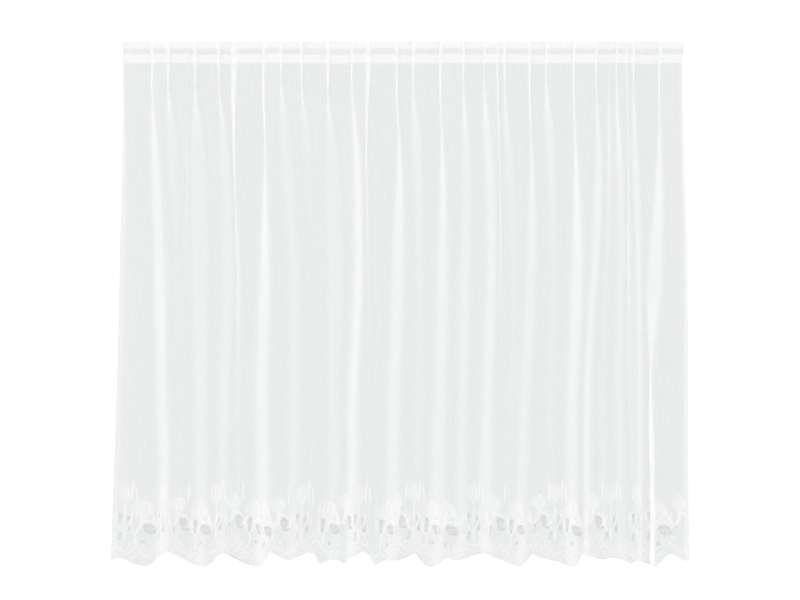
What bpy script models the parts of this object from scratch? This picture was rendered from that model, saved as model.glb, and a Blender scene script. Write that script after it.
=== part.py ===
"""A short lace curtain, gathered on a sewn tape and hanging in soft folds.

The cloth is laid out flat first, with its scalloped hem and the gaps of its lace.
Each level of the drop is then bent into folds whose length along the cloth is kept.
"""
import math

import bpy
import bmesh
import numpy as np
from mathutils import Vector
from mathutils.geometry import delaunay_2d_cdt

# Sizes in millimetres
POINT = 2.7514
MIDDLE_COLUMN = 403.5
TOP_ROW = 41.0
CLOTH_THICK = 1.1
TAPE_THICK = 1.0
TAPE_GAP = 0.3
TAPE_TOP = 4.0
TAPE_FOOT = 61.0
HEADING_FOOT = 64.0
PLEAT_RADIUS = 3.0
WAVE_RADIUS = 13.0
SOFT_RADIUS = 30.0
SOFT_FROM = 200.0
SOFT_TO = 900.0
FLAT_WIDTH = 2100.0
DRIFT_REACH = 320
FIT_STEPS = 12
ROUNDING = 9.0
SOFT_ROUNDING = 45.0
ROOM_SHARE = 1.6
EAR_HEIGHT = 5.0
EAR_WIDTH = 26.0
BORDER_TOP = 1215.0
OVERLAP_STEP = 4.0
HEM_STEP = 18.0
MM = 0.001

# Fold lines from left to right, read off the photo in picture points: the column of each
# at five picture rows, then the spare cloth it holds at the heading, the middle and the foot,
# and the length in millimetres over which it opens below the heading
FOLD_ROWS = (64.0, 150.0, 270.0, 375.0, 480.0)
SPARE_ROWS = (70.0, 250.0, 430.0)
FOLD_COLUMNS = ("row_64", "row_150", "row_270", "row_375", "row_480", "heading", "middle", "foot",
                "opens")
FOLDS = (
    (129.0, 127.0, 123.5, 120.0, 115.5, 7.0, 0.5, 0.5, 120.0),
    (157.5, 160.0, 164.0, 165.0, 167.0, 7.5, 14.0, 13.5, 70.0),
    (173.5, 178.0, 183.0, 184.0, 184.0, 10.0, 2.0, 1.0, 60.0),
    (193.0, 192.5, 191.0, 190.0, 191.0, 3.5, 2.5, 0.2, 350.0),
    (200.0, 200.5, 203.0, 204.0, 205.0, 9.0, 14.0, 8.0, 60.0),
    (223.0, 226.5, 228.0, 226.5, 225.0, 7.0, 10.0, 5.5, 70.0),
    (238.0, 236.0, 237.5, 239.0, 241.0, 13.5, 4.0, 1.4, 380.0),
    (267.5, 268.0, 265.5, 265.0, 267.0, 8.5, 16.0, 16.0, 160.0),
    (285.0, 289.0, 296.0, 298.0, 298.0, 7.5, 5.5, 5.0, 50.0),
    (305.0, 309.0, 314.0, 316.0, 316.0, 8.5, 0.5, 1.0, 60.0),
    (323.5, 323.5, 322.5, 323.0, 326.0, 2.5, 1.0, 0.2, 300.0),
    (331.0, 331.5, 335.0, 336.0, 338.0, 9.5, 13.5, 8.0, 70.0),
    (354.5, 357.0, 359.0, 356.0, 355.0, 6.5, 8.5, 6.5, 80.0),
    (371.0, 367.0, 368.0, 370.0, 371.0, 12.5, 3.0, 1.0, 320.0),
    (399.0, 399.5, 398.0, 397.0, 396.0, 8.0, 14.5, 11.0, 130.0),
    (415.0, 417.0, 420.0, 422.0, 422.0, 8.5, 2.0, 1.5, 55.0),
    (442.0, 442.0, 443.0, 443.5, 442.0, 8.0, 11.0, 10.0, 150.0),
    (465.0, 465.5, 466.0, 467.0, 466.0, 6.5, 6.0, 4.0, 65.0),
    (485.0, 487.5, 492.0, 491.0, 490.0, 5.5, 4.5, 7.5, 60.0),
    (498.5, 498.5, 500.5, 503.0, 503.0, 6.0, 4.0, 0.3, 420.0),
    (505.5, 507.0, 513.0, 514.0, 513.0, 7.5, 4.5, 2.0, 60.0),
    (530.5, 531.0, 530.0, 529.0, 527.0, 8.0, 12.0, 9.5, 150.0),
    (546.5, 550.0, 553.0, 555.0, 555.0, 7.5, 1.0, 1.2, 55.0),
    (573.5, 574.0, 576.0, 577.0, 578.0, 7.5, 12.0, 11.0, 160.0),
    (596.0, 597.0, 593.5, 589.0, 588.0, 6.0, 8.0, 8.0, 80.0),
    (609.0, 608.0, 605.5, 605.0, 606.0, 4.0, 2.2, 3.0, 130.0),
    (615.5, 617.0, 619.5, 620.5, 622.0, 6.0, 4.2, 6.0, 90.0),
    (626.0, 626.0, 625.5, 628.0, 632.0, 4.0, 4.0, 1.2, 260.0),
    (633.0, 633.5, 637.5, 641.0, 641.0, 7.0, 6.0, 6.0, 60.0),
    (658.5, 658.0, 653.5, 651.0, 653.0, 8.0, 16.0, 23.0, 150.0),
    (681.5, 682.5, 686.5, 689.5, 690.0, 4.0, 6.0, 4.5, 120.0),
)

# Side edges of the hanging cloth, in picture points
SIDE_COLUMNS = ("row", "left", "right")
SIDES = (
    (41.0, 122.2, 684.4),
    (64.0, 123.0, 682.6),
    (100.0, 122.6, 683.0),
    (150.0, 121.8, 684.4),
    (200.0, 120.8, 686.4),
    (250.0, 119.6, 688.2),
    (350.0, 117.6, 688.8),
    (450.0, 114.4, 688.9),
    (500.0, 112.6, 689.0),
    (568.0, 110.4, 689.4),
)

# The scalloped hem, in picture points
HEM_COLUMNS = ("column", "row")
HEM = (
    (111.0, 562.0), (116.0, 558.5), (124.0, 560.0), (133.0, 565.0), (144.0, 567.5), (152.0, 565.0),
    (157.0, 558.5), (168.0, 553.0), (177.0, 557.0), (187.0, 562.0), (193.0, 565.5), (204.0, 568.0),
    (213.0, 563.0), (217.0, 557.0), (223.0, 554.0), (231.0, 557.5), (241.0, 563.0), (249.0, 566.0),
    (259.0, 568.0), (265.0, 562.0), (270.0, 553.5), (278.0, 557.5), (288.0, 562.0), (297.0, 558.5),
    (307.0, 554.0), (315.0, 554.5), (319.0, 566.0), (325.0, 562.0), (338.0, 561.0), (344.0, 564.5),
    (352.0, 559.0), (362.0, 553.0), (369.0, 555.5), (375.0, 567.0), (384.0, 561.5), (397.0, 562.0),
    (406.0, 558.5), (415.0, 554.0), (424.0, 566.0), (432.0, 568.0), (440.0, 564.0), (447.0, 559.0),
    (456.0, 562.0), (463.0, 560.5), (473.0, 556.5), (484.0, 554.0), (493.0, 558.5), (502.0, 561.0),
    (509.0, 564.5), (520.0, 568.0), (527.0, 562.0), (531.0, 554.5), (540.0, 558.5), (551.0, 561.5),
    (560.0, 563.5), (568.0, 567.0), (575.0, 568.0), (579.0, 563.0), (582.0, 554.5), (592.0, 558.0),
    (603.0, 561.0), (610.0, 558.5), (620.0, 560.5), (632.0, 565.0), (637.0, 561.5), (645.0, 564.0),
    (656.0, 568.0), (662.0, 562.0), (668.0, 555.5), (674.0, 555.5), (684.0, 562.0), (690.0, 562.0),
)

# Flowers of the border that face the front, in picture points, by kind:
# t is a tall bud, m a middle flower, o a low open flower
FLOWER_COLUMNS = ("kind", "column")
FLOWERS = (
    ("t", 123.0), ("o", 140.0), ("t", 160.5), ("m", 178.0), ("o", 199.4), ("t", 214.4),
    ("m", 231.0), ("o", 254.0), ("m", 278.0), ("t", 300.5), ("o", 328.0), ("t", 358.0),
    ("o", 386.0), ("t", 413.0), ("o", 444.0), ("t", 473.0), ("m", 493.0), ("o", 516.0),
    ("m", 539.0), ("t", 555.0), ("o", 571.0), ("m", 593.0), ("t", 610.5), ("t", 636.0),
    ("o", 656.0), ("m", 679.0),
)

# Gaps of the lace round one flower's stem: the place and size of each in picture points,
# across from the flower's middle and in picture rows, with how far the gap leans
GAP_COLUMNS = ("across", "row", "wide", "tall", "lean")
GAPS = {
    "t": ((-5.0, 519.0, 4.2, 12.0, 0.15), (5.4, 524.0, 4.6, 15.0, -0.1), (-4.5, 536.5, 4.0, 8.0, 0.2)),
    "m": ((7.4, 523.0, 8.5, 13.0, -0.25), (-4.6, 530.0, 3.6, 12.0, 0.1)),
    "o": ((8.6, 530.0, 13.0, 9.5, -0.5), (-6.6, 526.0, 4.2, 15.0, 0.1), (1.5, 543.5, 5.0, 4.6, 0.0)),
}
GAP_SIDES = 6
GAP_CLEAR = 6.0
FLOWER_PITCH = 66.0

# Levels of the drop that carry mesh points, and how many points each turn of the cloth gets
LEVEL_COLUMNS = ("depth", "points_in_a_turn", "least_step")
PLEATED_LEVELS = (64.0, 86.0)
LEVELS = (
    (112.0, 3, 4.0), (135.0, 3, 6.0), (165.0, 3, 8.0), (205.0, 3, 10.0), (280.0, 3, 12.0),
    (400.0, 3, 13.0), (480.0, 3, 14.0), (570.0, 3, 14.0), (760.0, 3, 14.0), (855.0, 3, 16.0),
    (950.0, 3, 18.0), (1120.0, 3, 20.0), (1215.0, 3, 20.0), (1262.0, 3, 20.0), (1300.0, 3, 22.0),
    (1340.0, 3, 22.0), (1385.0, 3, 22.0),
)


def depth_of(row):
    """Depth below the top edge of a picture row."""
    return (row - TOP_ROW) * POINT


def place_of(column):
    """Distance from the curtain's middle of a picture column."""
    return (column - MIDDLE_COLUMN) * POINT


FOLD_PLACES = place_of(np.array([row[:5] for row in FOLDS]))
FOLD_DEPTHS = depth_of(np.array(FOLD_ROWS))
FOLD_SPARES = np.array([row[5:8] for row in FOLDS])
FOLD_OPENS = np.array([row[8] for row in FOLDS])
ALONG = np.linspace(0.0, FLAT_WIDTH, int(FLAT_WIDTH) + 1)
TABLE_DEPTHS = np.array([-10.0, 64.0, 74.0, 84.0, 98.0, 112.0, 130.0, 150.0, 176.0, 205.0, 240.0, 280.0,
                         330.0, 390.0, 460.0, 540.0, 620.0, 700.0, 780.0, 860.0, 940.0, 1030.0, 1100.0,
                         1170.0, 1240.0, 1310.0, 1380.0, 1460.0])


def fold_places(depth):
    """Where the fold lines stand at one depth, on a smooth path through the five rows."""
    slopes = np.gradient(FOLD_PLACES, FOLD_DEPTHS, axis=1)
    slopes[:, 0] = 0.0
    depth_used = min(max(depth, FOLD_DEPTHS[0]), FOLD_DEPTHS[-1])
    span = int(np.clip(np.searchsorted(FOLD_DEPTHS, depth_used) - 1, 0, len(FOLD_DEPTHS) - 2))
    length = FOLD_DEPTHS[span + 1] - FOLD_DEPTHS[span]
    t = (depth_used - FOLD_DEPTHS[span]) / length
    start = (2 * t ** 3 - 3 * t ** 2 + 1) * FOLD_PLACES[:, span]
    end = (3 * t ** 2 - 2 * t ** 3) * FOLD_PLACES[:, span + 1]
    leave = (t ** 3 - 2 * t ** 2 + t) * length * slopes[:, span]
    arrive = (t ** 3 - t ** 2) * length * slopes[:, span + 1]
    return start + end + leave + arrive


def side_places(depth):
    """The two side edges of the hanging cloth at one depth."""
    depths = depth_of(np.array([row[0] for row in SIDES]))
    left = place_of(np.array([row[1] for row in SIDES]))
    right = place_of(np.array([row[2] for row in SIDES]))
    return np.interp(depth, depths, left), np.interp(depth, depths, right)


def openness(depth):
    """For every fold, 0 where its pleat is stitched flat, towards 1 where it hangs free."""
    return 1.0 - np.exp(-max(depth - HEADING_FOOT, 0.0) / FOLD_OPENS)


def fold_spares(depth):
    """Span widths between fold lines at one depth, and the spare cloth held at every fold."""
    depths = depth_of(np.array(SPARE_ROWS))
    spares = np.array([np.interp(depth, depths, row) for row in FOLD_SPARES]) * POINT
    widths = np.diff(fold_places(depth))
    used = (spares[:-1] + spares[1:]).sum() / 2
    return widths, spares * (FLAT_WIDTH - widths.sum()) / used


def wall_slope(spares):
    """Slope of the hanging wall at a fold: the more spare cloth it holds, the steeper it is."""
    points = spares / POINT
    return np.arccos(1.0 / (1.0 + 0.2 * points ** 0.6)) + 0.15 * np.maximum(points - 18.0, 0.0)


def hanging_angles(widths, spares):
    """Slope of every wall, steeper where its spare cloth has little room."""
    share = np.clip(spares[:-1] / (spares[:-1] + spares[1:]), 0.2, 0.8)
    room = np.zeros(len(spares))
    room[:-1] += widths * share
    room[1:] += widths * (1.0 - share)
    least = np.arccos(1.0 / (1.0 + ROOM_SHARE * spares / room))
    return np.maximum(wall_slope(spares), least)


def fold_sides():
    """Whether each wall runs to the back or to the front, so that the cloth keeps to one plane."""
    slopes = wall_slope(FOLD_SPARES[:, -1] * POINT)
    sides = []
    reach = 0.0
    for points, slope in zip(FOLD_SPARES[:, -1], slopes):
        side = 1.0 if reach <= 0.0 else -1.0
        sides.append(side)
        reach += side * points / math.tan(min(slope, 1.3) / 2)
    return sides


FOLD_SIDES = fold_sides()


def softness(depth):
    """0 in the crisp upper folds, 1 where they have grown round and soft."""
    return min(max((depth - SOFT_FROM) / (SOFT_TO - SOFT_FROM), 0.0), 1.0)


def turn_plan(depth):
    """Span lengths, angle at every fold line, and the steep and turning lengths at span ends."""
    widths, spares = fold_spares(depth)
    free = openness(depth)
    angle = math.pi * (1.0 - free) + hanging_angles(widths, spares) * free
    bend = np.linspace(0.0, math.pi, 181)
    angle = np.minimum(angle, np.interp(spares / (2 * PLEAT_RADIUS), bend - np.sin(bend), bend))
    radius = PLEAT_RADIUS + (WAVE_RADIUS - PLEAT_RADIUS) * free
    radius = radius + (SOFT_RADIUS - WAVE_RADIUS) * softness(depth) * free
    ends = np.stack([angle[:-1], angle[1:]])
    half = np.stack([spares[:-1], spares[1:]]) / 2
    lengths = widths + half.sum(axis=0)
    turn_hides = 1.0 - np.sin(ends) / ends
    wall_hides = 1.0 - np.cos(ends)
    turns = np.minimum(np.stack([radius[:-1], radius[1:]]) * ends, half / turn_hides)
    least = (half / wall_hides).sum(axis=0)
    growth = (turns * (1.0 - turn_hides / wall_hides)).sum(axis=0)
    turns = turns * np.clip((0.97 * lengths - least) / growth, 0.05, 1.0)
    steep = np.maximum(half - turns * turn_hides, 0.0) / wall_hides
    fit = np.minimum(1.0, 0.99 * lengths / (turns + steep).sum(axis=0))
    return lengths, angle, steep * fit, turns * fit


def turn_knots(plan):
    """Points along the cloth with their turning angle, joined by straight changes of angle."""
    lengths, angle, steep, turns = plan
    along = []
    turned = []
    start = 0.0
    for number, length in enumerate(lengths):
        end = start + length
        first = FOLD_SIDES[number] * angle[number]
        last = FOLD_SIDES[number + 1] * angle[number + 1]
        along += [start, start + steep[0, number], start + steep[0, number] + turns[0, number]]
        turned += [first, first, 0.0]
        along += [end - steep[1, number] - turns[1, number], end - steep[1, number], end]
        turned += [0.0, last, last]
        start = end
    return np.array(along), np.array(turned)


def level_line(values):
    """The same line without its slow drift to the back or the front."""
    padded = np.concatenate([np.full(DRIFT_REACH, values[:60].mean()), values,
                             np.full(DRIFT_REACH, values[-60:].mean())])
    kernel = np.hanning(2 * DRIFT_REACH + 1)
    return values - np.convolve(padded, kernel / kernel.sum(), mode="valid")


def bent_path(plan, depth):
    """Place across and place back along the cloth, kept to one plane without stretching the cloth."""
    along, turned = turn_knots(plan)
    angle = np.interp((ALONG[:-1] + ALONG[1:]) / 2, along, turned)
    window = np.hanning(int(ROUNDING + (SOFT_ROUNDING - ROUNDING) * softness(depth)))
    angle = np.convolve(angle, window / window.sum(), mode="same")
    step = ALONG[1] - ALONG[0]
    run = np.cos(angle)
    rise = np.diff(level_line(np.concatenate([[0.0], np.cumsum(np.sin(angle) * step)]))) / step
    length = np.hypot(run, rise)
    across = np.concatenate([[0.0], np.cumsum(run / length * step)])
    back = level_line(np.concatenate([[0.0], np.cumsum(rise / length * step)]))
    return across - across.min(), back


def fitted_plan(depth):
    """The turns of one level, their lengths and angles fitted so that every fold line is in place."""
    lengths, angle, steep, turns = turn_plan(depth)
    widths = np.diff(fold_places(depth))
    for _ in range(FIT_STEPS):
        across, back = bent_path((lengths, angle, steep, turns), depth)
        lines = np.concatenate([[0.0], np.cumsum(lengths)])
        runs = np.diff(np.interp(lines, ALONG, across))
        least = (steep + turns).sum(axis=0) / 0.99
        lengths = np.maximum(lengths + 0.7 * (widths - runs), least)
        spare = lengths.sum() - widths.sum()
        share = (FLAT_WIDTH - widths.sum()) / spare
        angle = np.minimum(angle * share ** 0.4, math.pi)
        lengths = lengths * FLAT_WIDTH / lengths.sum()
    return lengths, angle, steep, turns


def level_path(depth):
    """The cloth's line at one depth, seen from above: place across and place front to back."""
    across, back = bent_path(fitted_plan(depth), depth)
    left, right = side_places(depth)
    return left + across * (right - left) / across.max(), back


def drape_tables():
    """Tables of place across and place front to back, by depth and by length along the cloth."""
    across = []
    back = []
    for depth in TABLE_DEPTHS:
        level_across, level_back = level_path(depth)
        across.append(level_across)
        back.append(level_back)
    return np.array(across), np.array(back)


ACROSS, BACK = drape_tables()


def look_up(table, along, depth):
    """Value of a drape table at points of the flat cloth."""
    column = np.clip(along / FLAT_WIDTH * (len(ALONG) - 1), 0, len(ALONG) - 1.001)
    left = column.astype(int)
    side = column - left
    row = np.clip(np.searchsorted(TABLE_DEPTHS, depth) - 1, 0, len(TABLE_DEPTHS) - 2)
    down = (depth - TABLE_DEPTHS[row]) / (TABLE_DEPTHS[row + 1] - TABLE_DEPTHS[row])
    upper = table[row, left] * (1 - side) + table[row, left + 1] * side
    lower = table[row + 1, left] * (1 - side) + table[row + 1, left + 1] * side
    return upper * (1 - down) + lower * down


def surface(along, depth):
    """Points of the hanging cloth's middle, with its back-facing unit normals."""
    small = 1.0
    across = look_up(ACROSS, along, depth)
    back = look_up(BACK, along, depth)
    before = np.clip(along - small, 0, FLAT_WIDTH)
    after = np.clip(along + small, 0, FLAT_WIDTH)
    run_across = look_up(ACROSS, after, depth) - look_up(ACROSS, before, depth)
    run_back = look_up(BACK, after, depth) - look_up(BACK, before, depth)
    length = np.hypot(run_across, run_back)
    normal_across = -run_back / length
    normal_back = run_across / length
    lean_across = (look_up(ACROSS, along, depth + 4.0) - look_up(ACROSS, along, depth - 4.0)) / 8.0
    lean_back = (look_up(BACK, along, depth + 4.0) - look_up(BACK, along, depth - 4.0)) / 8.0
    normal_up = lean_across * normal_across + lean_back * normal_back
    points = np.stack([across, back, -depth], axis=1)
    normals = np.stack([normal_across, normal_back, normal_up], axis=1)
    return points, normals / np.linalg.norm(normals, axis=1)[:, None]


def along_of(column, depth=1400.0):
    """Length along the flat cloth that hangs at a picture column near the hem."""
    across = look_up(ACROSS, ALONG, np.full(len(ALONG), depth))
    front = np.maximum.accumulate(across + ALONG * 1e-6)
    return np.interp(place_of(column), front, ALONG)


def top_edge(along):
    """Depth of the top edge, with a small upward point at each corner."""
    near = np.minimum(along, FLAT_WIDTH - along)
    return -EAR_HEIGHT * np.clip(1.0 - near / EAR_WIDTH, 0.0, 1.0)


def hem_line():
    """Points along the scalloped hem of the flat cloth, from left to right."""
    columns = np.array([row[0] for row in HEM])
    depths = depth_of(np.array([row[1] for row in HEM]))
    along = along_of(columns)
    along[0] = 0.0
    along[-1] = FLAT_WIDTH
    keep = np.concatenate([[True], np.diff(along) > 2.0])
    along = along[keep]
    depths = depths[keep]
    points = []
    for start, end, first, last in zip(along[:-1], along[1:], depths[:-1], depths[1:]):
        count = max(1, int(round((end - start) / HEM_STEP)))
        for number in range(count):
            t = number / count
            points.append((start + (end - start) * t, first + (last - first) * t))
    points.append((along[-1], depths[-1]))
    return points


def flower_places():
    """Kind and length along the cloth of every flower, with more in the cloth that turns away."""
    front = [(kind, float(along_of(column))) for kind, column in FLOWERS]
    places = [front[0]]
    for kind, along in front[1:]:
        gap = along - places[-1][1]
        extra = max(0, int(round(gap / FLOWER_PITCH)) - 1)
        for number in range(extra):
            hidden_kind = ("m", "t", "o")[(len(places) + number) % 3]
            places.append((hidden_kind, along - gap * (extra - number) / (extra + 1)))
        places.append((kind, along))
    return places


def gap_outlines():
    """Outline of every gap cut through the lace border of the flat cloth."""
    outlines = []
    centres = []
    for kind, along in flower_places():
        for across, row, wide, tall, lean in GAPS[kind]:
            centre = (along + across * POINT, depth_of(row))
            half_wide = wide * POINT / 2
            half_tall = tall * POINT / 2
            if centre[0] < half_wide + 14.0 or centre[0] > FLAT_WIDTH - half_wide - 14.0:
                continue
            crowded = any(abs(centre[0] - x) < half_wide + w + 2.5 and abs(centre[1] - y) < half_tall + h + 2.5
                          for x, y, w, h in centres)
            if crowded:
                continue
            centres.append((centre[0], centre[1], half_wide, half_tall))
            outline = []
            for number in range(GAP_SIDES):
                turn = 2 * math.pi * (number + 0.5) / GAP_SIDES
                up = math.sin(turn) * half_tall
                outline.append((centre[0] + math.cos(turn) * half_wide + lean * up, centre[1] - up))
            outlines.append(outline)
    return outlines


def level_points(depth, turn_points, least_step):
    """Lengths along the cloth where one level gets mesh points: at its steep walls and turns."""
    lengths, angle, steep, turns = fitted_plan(depth)
    places = []
    start = 0.0
    for number, length in enumerate(lengths):
        first = start + steep[0, number]
        last = start + length - steep[1, number]
        for step in range(turn_points):
            part = step / (turn_points - 1)
            places.append((first + turns[0, number] * part, angle[number]))
            places.append((last - turns[1, number] * part, angle[number + 1]))
        places.append((start, angle[number]))
        start += length
    kept = [0.0]
    for place, fold_angle in sorted(places):
        least = min(least_step, OVERLAP_STEP) if fold_angle > math.pi / 2 else least_step
        if place - kept[-1] >= least:
            kept.append(place)
    if FLAT_WIDTH - kept[-1] < least_step:
        kept.pop()
    kept.append(FLAT_WIDTH)
    return kept


def near_outline(point, outline, clearance):
    """True where a point lies inside an outline or close to it."""
    xs = [corner[0] for corner in outline]
    ys = [corner[1] for corner in outline]
    wide = min(xs) - clearance < point[0] < max(xs) + clearance
    tall = min(ys) - clearance < point[1] < max(ys) + clearance
    return wide and tall


def inside(point, outline):
    """True where a point lies inside a closed outline."""
    result = False
    last = outline[-1]
    for corner in outline:
        if (corner[1] > point[1]) != (last[1] > point[1]):
            cut = last[0] + (point[1] - last[1]) * (corner[0] - last[0]) / (corner[1] - last[1])
            if point[0] < cut:
                result = not result
        last = corner
    return result


def pleated_pattern():
    """Flat triangles of the stitched heading and the cloth just below it, in straight columns."""
    places = level_points(PLEATED_LEVELS[0], 4, 1.5)
    corners = [(along, float(top_edge(along))) for along in places]
    for depth in PLEATED_LEVELS:
        corners += [(along, depth) for along in places]
    triangles = []
    count = len(places)
    for row in range(len(PLEATED_LEVELS)):
        for number in range(count - 1):
            a = row * count + number
            triangles.append((a, a + 1, a + count))
            triangles.append((a + 1, a + count + 1, a + count))
    return corners, triangles


def hanging_pattern():
    """Flat triangles of the cloth below the pleats, with the gaps of the lace left out."""
    hem = hem_line()
    gaps = gap_outlines()
    top = [(along, PLEATED_LEVELS[-1]) for along in level_points(PLEATED_LEVELS[0], 4, 1.5)]
    sides = [level[0] for level in LEVELS]
    left = [(0.0, depth) for depth in reversed(sides)]
    right = [(FLAT_WIDTH, depth) for depth in sides]
    outline = top + right + list(reversed(hem)) + left
    points = list(outline)
    edges = [(number, (number + 1) % len(outline)) for number in range(len(outline))]
    for gap in gaps:
        first = len(points)
        points += gap
        edges += [(first + number, first + (number + 1) % len(gap)) for number in range(len(gap))]
    hem_along = [point[0] for point in hem]
    hem_depth = [point[1] for point in hem]
    for depth, turn_points, least_step in LEVELS:
        for along in level_points(depth, turn_points, least_step)[1:-1]:
            clear_of_hem = depth < float(np.interp(along, hem_along, hem_depth)) - 12.0
            clear_of_gaps = not any(near_outline((along, depth), gap, GAP_CLEAR) for gap in gaps)
            if clear_of_hem and (depth < BORDER_TOP or clear_of_gaps):
                points.append((along, depth))
    flat = [Vector((along, depth)) for along, depth in points]
    result = delaunay_2d_cdt(flat, edges, [], 1, 0.01)
    corners = [(point[0], point[1]) for point in result[0]]
    triangles = []
    for face in result[2]:
        middle = np.array([corners[number] for number in face]).mean(axis=0)
        if not any(near_outline(middle, gap, 0.0) and inside(middle, gap) for gap in gaps):
            triangles.append(tuple(face))
    return corners, triangles


def panel_pattern():
    """Flat triangles of the whole curtain cloth, its two zones joined where they share points."""
    corners = []
    triangles = []
    found = {}
    for zone_corners, zone_triangles in (pleated_pattern(), hanging_pattern()):
        numbers = []
        for along, depth in zone_corners:
            key = (round(along, 1), round(depth, 1))
            if key not in found:
                found[key] = len(corners)
                corners.append((along, depth))
            numbers.append(found[key])
        triangles += [tuple(numbers[corner] for corner in triangle) for triangle in zone_triangles]
    return np.array(corners), triangles


def strip_pattern(top, foot):
    """Flat triangles of a straight strip across the whole cloth."""
    places = level_points(PLEATED_LEVELS[0], 4, 1.5)
    corners = [(along, depth) for depth in (top, foot) for along in places]
    triangles = []
    count = len(places)
    for number in range(count - 1):
        triangles.append((number, number + 1, count + number))
        triangles.append((number + 1, count + number + 1, count + number))
    return np.array(corners), triangles


def sheet_object(name, corners, triangles, behind, thick, material):
    """A closed sheet of one thickness, hung on the drape a given distance behind the cloth's middle."""
    used = sorted({corner for triangle in triangles for corner in triangle})
    numbers = {corner: number for number, corner in enumerate(used)}
    points, normals = surface(corners[used, 0], corners[used, 1])
    front = points + normals * (behind - thick / 2)
    rear = points + normals * (behind + thick / 2)
    mesh = bmesh.new()
    front_corners = [mesh.verts.new(point * MM) for point in front]
    rear_corners = [mesh.verts.new(point * MM) for point in rear]
    rims = {}
    for triangle in triangles:
        a, b, c = (numbers[corner] for corner in triangle)
        pa, pb, pc = (corners[corner] for corner in triangle)
        area = (pb[0] - pa[0]) * (pc[1] - pa[1]) - (pc[0] - pa[0]) * (pb[1] - pa[1])
        if area < 0:
            b, c = c, b
        mesh.faces.new((front_corners[a], front_corners[c], front_corners[b]))
        mesh.faces.new((rear_corners[a], rear_corners[b], rear_corners[c]))
        for start, end in ((a, b), (b, c), (c, a)):
            if (end, start) in rims:
                del rims[(end, start)]
            else:
                rims[(start, end)] = True
    for start, end in rims:
        mesh.faces.new((front_corners[start], front_corners[end], rear_corners[end]))
        mesh.faces.new((front_corners[start], rear_corners[end], rear_corners[start]))
    bmesh.ops.recalc_face_normals(mesh, faces=mesh.faces[:])
    data = bpy.data.meshes.new(name)
    mesh.to_mesh(data)
    mesh.free()
    data.materials.append(material)
    thing = bpy.data.objects.new(name, data)
    bpy.context.scene.collection.objects.link(thing)
    return thing


def cloth_material(name, colour, roughness):
    """Plain white fibre."""
    material = bpy.data.materials.new(name)
    material.use_nodes = True
    shader = material.node_tree.nodes["Principled BSDF"]
    shader.inputs["Base Color"].default_value = (*colour, 1.0)
    shader.inputs["Roughness"].default_value = roughness
    shader.inputs["Metallic"].default_value = 0.0
    return material


def build():
    """Both pieces of the curtain."""
    for thing in list(bpy.data.objects):
        bpy.data.objects.remove(thing, do_unlink=True)
    lace = cloth_material("white_lace", (0.86, 0.87, 0.85), 0.85)
    tape = cloth_material("white_tape", (0.9, 0.9, 0.88), 0.8)
    corners, triangles = panel_pattern()
    sheet_object("curtain_panel", corners, triangles, 0.0, CLOTH_THICK, lace)
    corners, triangles = strip_pattern(TAPE_TOP, TAPE_FOOT)
    behind = CLOTH_THICK / 2 + TAPE_GAP + TAPE_THICK / 2
    sheet_object("heading_tape", corners, triangles, behind, TAPE_THICK, tape)


build()
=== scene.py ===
"""Dressing of the lace curtain: sheer net, flowered border, hems, tape and draw cords."""

import math

import bmesh
import bpy
import numpy as np
from mathutils import Matrix


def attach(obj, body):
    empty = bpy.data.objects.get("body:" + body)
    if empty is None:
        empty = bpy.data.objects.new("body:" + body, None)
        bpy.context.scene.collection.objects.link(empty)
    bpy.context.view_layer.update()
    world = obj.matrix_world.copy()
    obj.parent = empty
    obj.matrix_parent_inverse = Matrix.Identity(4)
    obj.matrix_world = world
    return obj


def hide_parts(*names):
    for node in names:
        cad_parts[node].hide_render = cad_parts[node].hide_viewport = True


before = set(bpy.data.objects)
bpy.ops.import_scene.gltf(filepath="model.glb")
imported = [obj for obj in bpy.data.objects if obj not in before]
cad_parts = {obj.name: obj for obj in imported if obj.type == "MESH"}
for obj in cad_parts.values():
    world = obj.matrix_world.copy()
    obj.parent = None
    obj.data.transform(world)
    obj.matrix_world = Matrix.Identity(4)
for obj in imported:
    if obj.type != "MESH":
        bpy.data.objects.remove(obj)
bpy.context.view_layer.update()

# Sizes in millimetres, laid out as in the part
POINT = 2.7514
MIDDLE_COLUMN = 403.5
TOP_ROW = 41.0
HEADING_FOOT = 64.0
PLEAT_RADIUS = 3.0
WAVE_RADIUS = 13.0
SOFT_RADIUS = 30.0
SOFT_FROM = 200.0
SOFT_TO = 900.0
FLAT_WIDTH = 2100.0
DRIFT_REACH = 320
FIT_STEPS = 12
ROUNDING = 9.0
SOFT_ROUNDING = 45.0
ROOM_SHARE = 1.6
EAR_HEIGHT = 5.0
EAR_WIDTH = 26.0
TAPE_TOP = 4.0
TAPE_FOOT = 61.0
TAPE_BEHIND = 1.35
CLOTH_COLUMNS = 760
BODY_FOOT = 1230.0
LACE_FOOT = 1385.0
HEM_ROWS = 16
SIDE_HEM = 15.0
SIDE_HEM_INSET = 0.4
FLOWER_PITCH = 66.0
FLOWER_MARGIN = 6.0
GAP_MARGIN = 14.0
GAP_APART = 2.5
GAP_POWER = 2.8
GAP_CORE = 0.55
RIM_REACH = 20.0
RIM_START = 2.8
RIM_END = 4.8
FOOT_PITCH = 36.0
TIE_PITCH = 5.0
TIE_WIDTH = 1.1
TIE_TURN = 32.0
CORD_DEPTHS = (38.2, 40.8)
CORD_BEHIND = 0.8
CORD_RADIUS = 0.6
MAP_HEIGHT = 1460.0
MM = 0.001

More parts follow.
